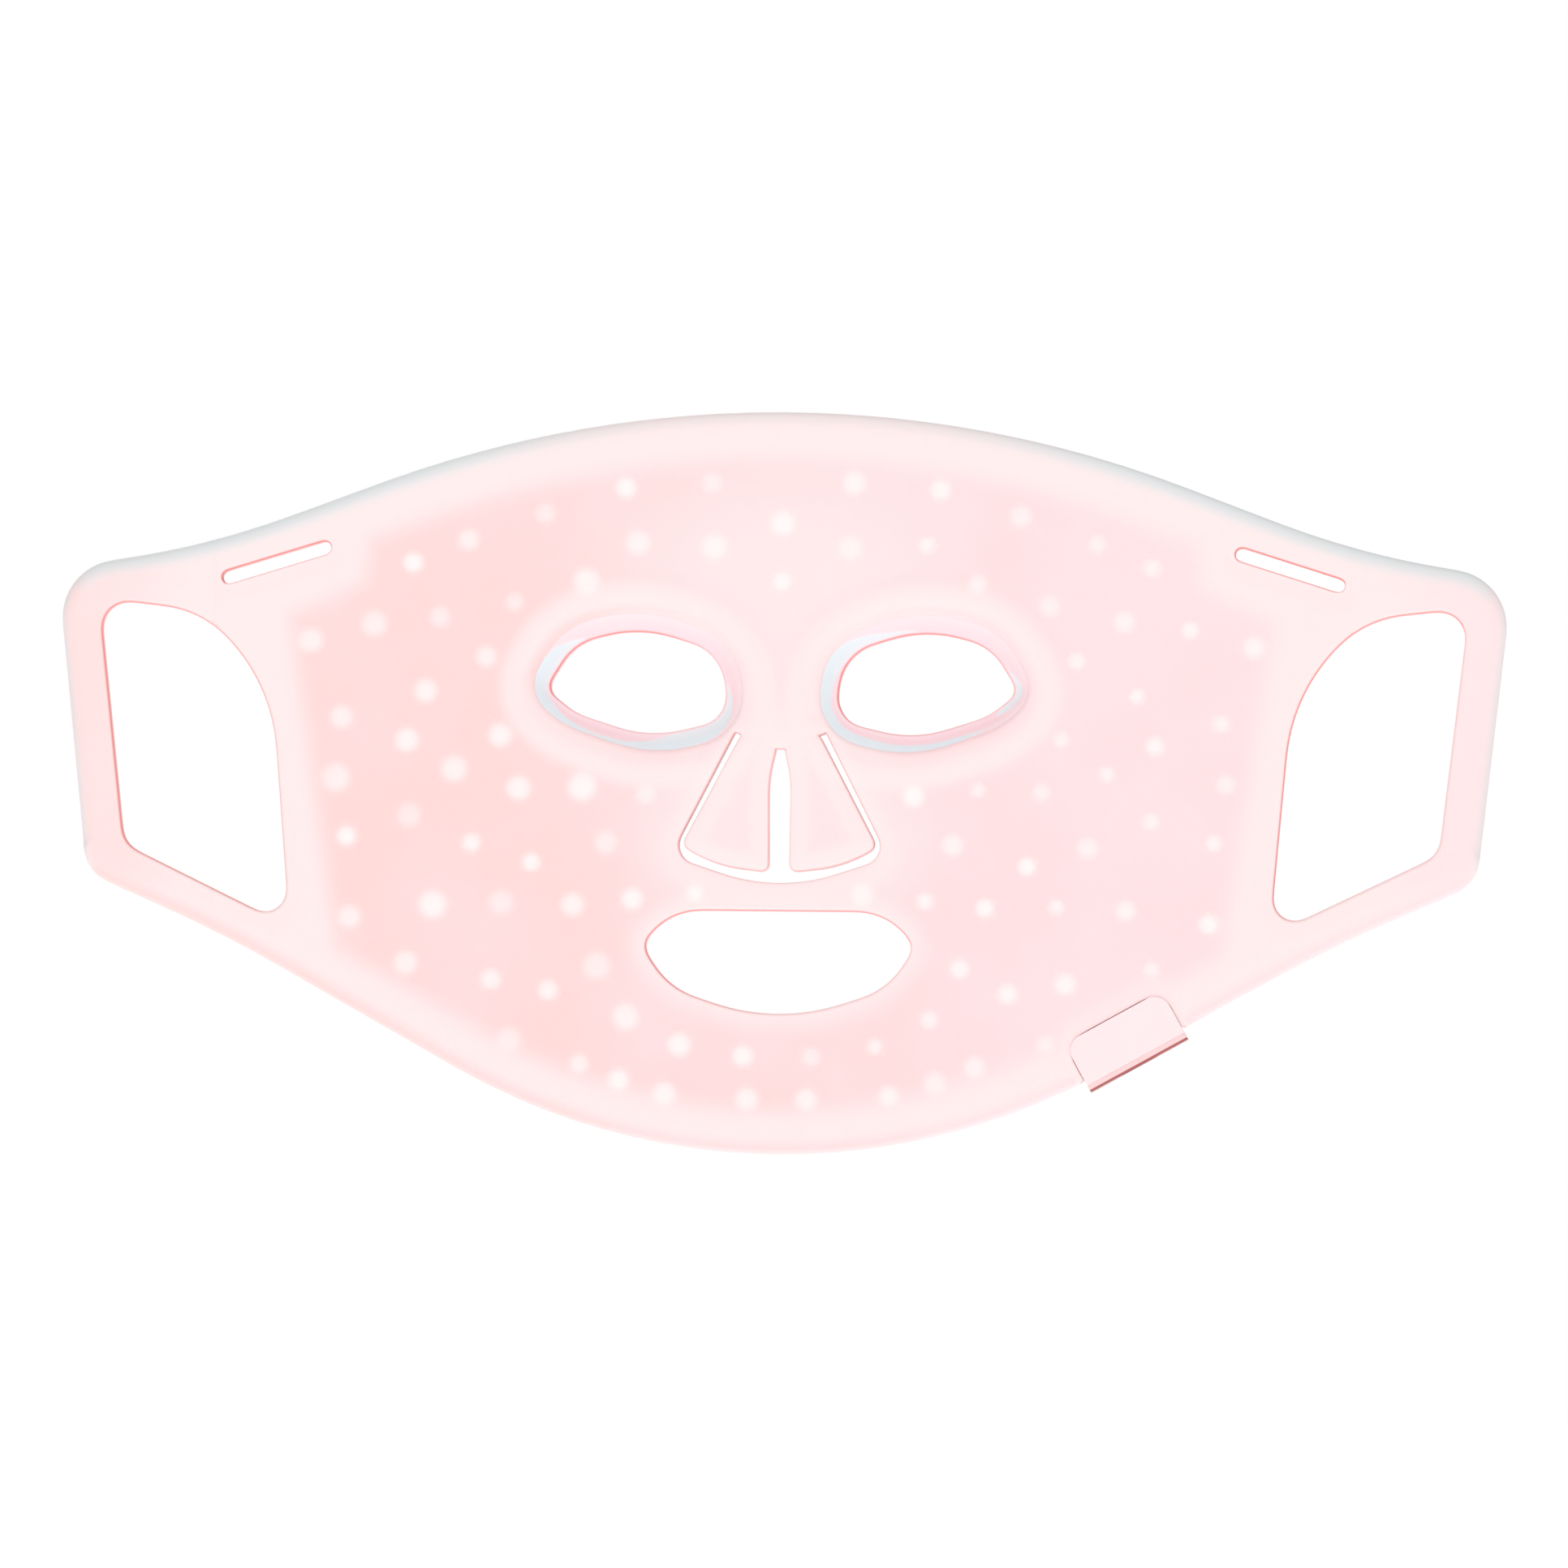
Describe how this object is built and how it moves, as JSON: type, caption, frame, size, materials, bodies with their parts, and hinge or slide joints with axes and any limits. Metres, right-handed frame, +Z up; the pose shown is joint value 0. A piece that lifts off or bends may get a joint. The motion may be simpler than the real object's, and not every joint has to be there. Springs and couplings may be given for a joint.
{
  "type": "light therapy face mask",
  "caption": "Flat flexible silicone face mask with small lights behind a translucent skin, eye and mouth openings, two nose flaps, strap loops and a charging port.",
  "frame": {"origin": "point on the face side of the nose bridge, midway between the eyes, where the mask lies on the face", "axes": "+X to the viewer's right when the front is seen, -Y out of the front, +Y towards the face, +Z up to the forehead"},
  "size_m": [0.3402, 0.0113, 0.1745],
  "materials": {
    "silicone_pink": "translucent soft silicone, satin",
    "silicone_clear": "clear silicone, satin",
    "silicone_grey": "cool grey translucent silicone, satin",
    "circuit_film": "white flexible circuit film",
    "led_lens": "clear-white light lens",
    "resistor_body": "matt black",
    "port_plastic": "fine-textured pink plastic",
    "port_trim": "dusty pink-brown plastic",
    "port_seal": "dark red elastomer",
    "board_green": "solder-masked circuit board",
    "steel": "plain steel",
    "gold": "gold-plated contact",
    "black_plastic": "moulded black package",
    "ceramic_tan": "ceramic body",
    "ivory_plastic": "ivory connector plastic"
  },
  "bodies": {
    "mask": {"mask_sheet": "silicone_pink", "eye_shield_left": "silicone_grey", "eye_shield_right": "silicone_grey", "face_liner": "silicone_clear", "flex_circuit": "circuit_film", "circuit_tail": "circuit_film", "port_case": "port_plastic", "port_cover": "port_plastic", "port_seal": "port_seal", "port_lip": "port_trim", "port_board": "board_green", "socket_shell": "steel", "socket_tongue": "black_plastic", "socket_contacts": "gold", "driver_chip": "black_plastic", "port_capacitors": "ceramic_tan", "tail_connector": "ivory_plastic", "port_screw_left": "steel", "port_screw_right": "steel", "resistors_left": "resistor_body", "resistors_right": "resistor_body", "lights_forehead": "led_lens", "lights_brow": "led_lens", "lights_lip": "led_lens", "lights_chin": "led_lens", "lights_cheek_left": "led_lens", "lights_cheek_right": "led_lens", "lights_jaw_left": "led_lens", "lights_jaw_right": "led_lens"},
    "loop_left": {"strap_loop_left": "silicone_pink"},
    "loop_right": {"strap_loop_right": "silicone_pink"},
    "flap_left": {"nose_flap_left": "silicone_pink"},
    "flap_right": {"nose_flap_right": "silicone_pink"}
  },
  "joints": [
    {"name": "loop_fold_left", "type": "hinge", "parent": "mask", "child": "loop_left", "pos_m": [-0.1366, 0, 0], "axis": [0, 0, -1], "range_deg": [0, 60], "stiffness_Nm_per_rad": 0.03},
    {"name": "loop_fold_right", "type": "hinge", "parent": "mask", "child": "loop_right", "pos_m": [0.1366, 0, 0], "axis": [0, 0, 1], "range_deg": [0, 60], "stiffness_Nm_per_rad": 0.03},
    {"name": "flap_lift_left", "type": "hinge", "parent": "mask", "child": "flap_left", "pos_m": [0, -0.0052, -0.0158], "axis": [-0.9315, 0, 0.3637], "range_deg": [0, 35], "stiffness_Nm_per_rad": 0.008},
    {"name": "flap_lift_right", "type": "hinge", "parent": "mask", "child": "flap_right", "pos_m": [0, -0.0052, -0.0158], "axis": [-0.9315, 0, -0.3637], "range_deg": [0, 35], "stiffness_Nm_per_rad": 0.008}
  ]
}
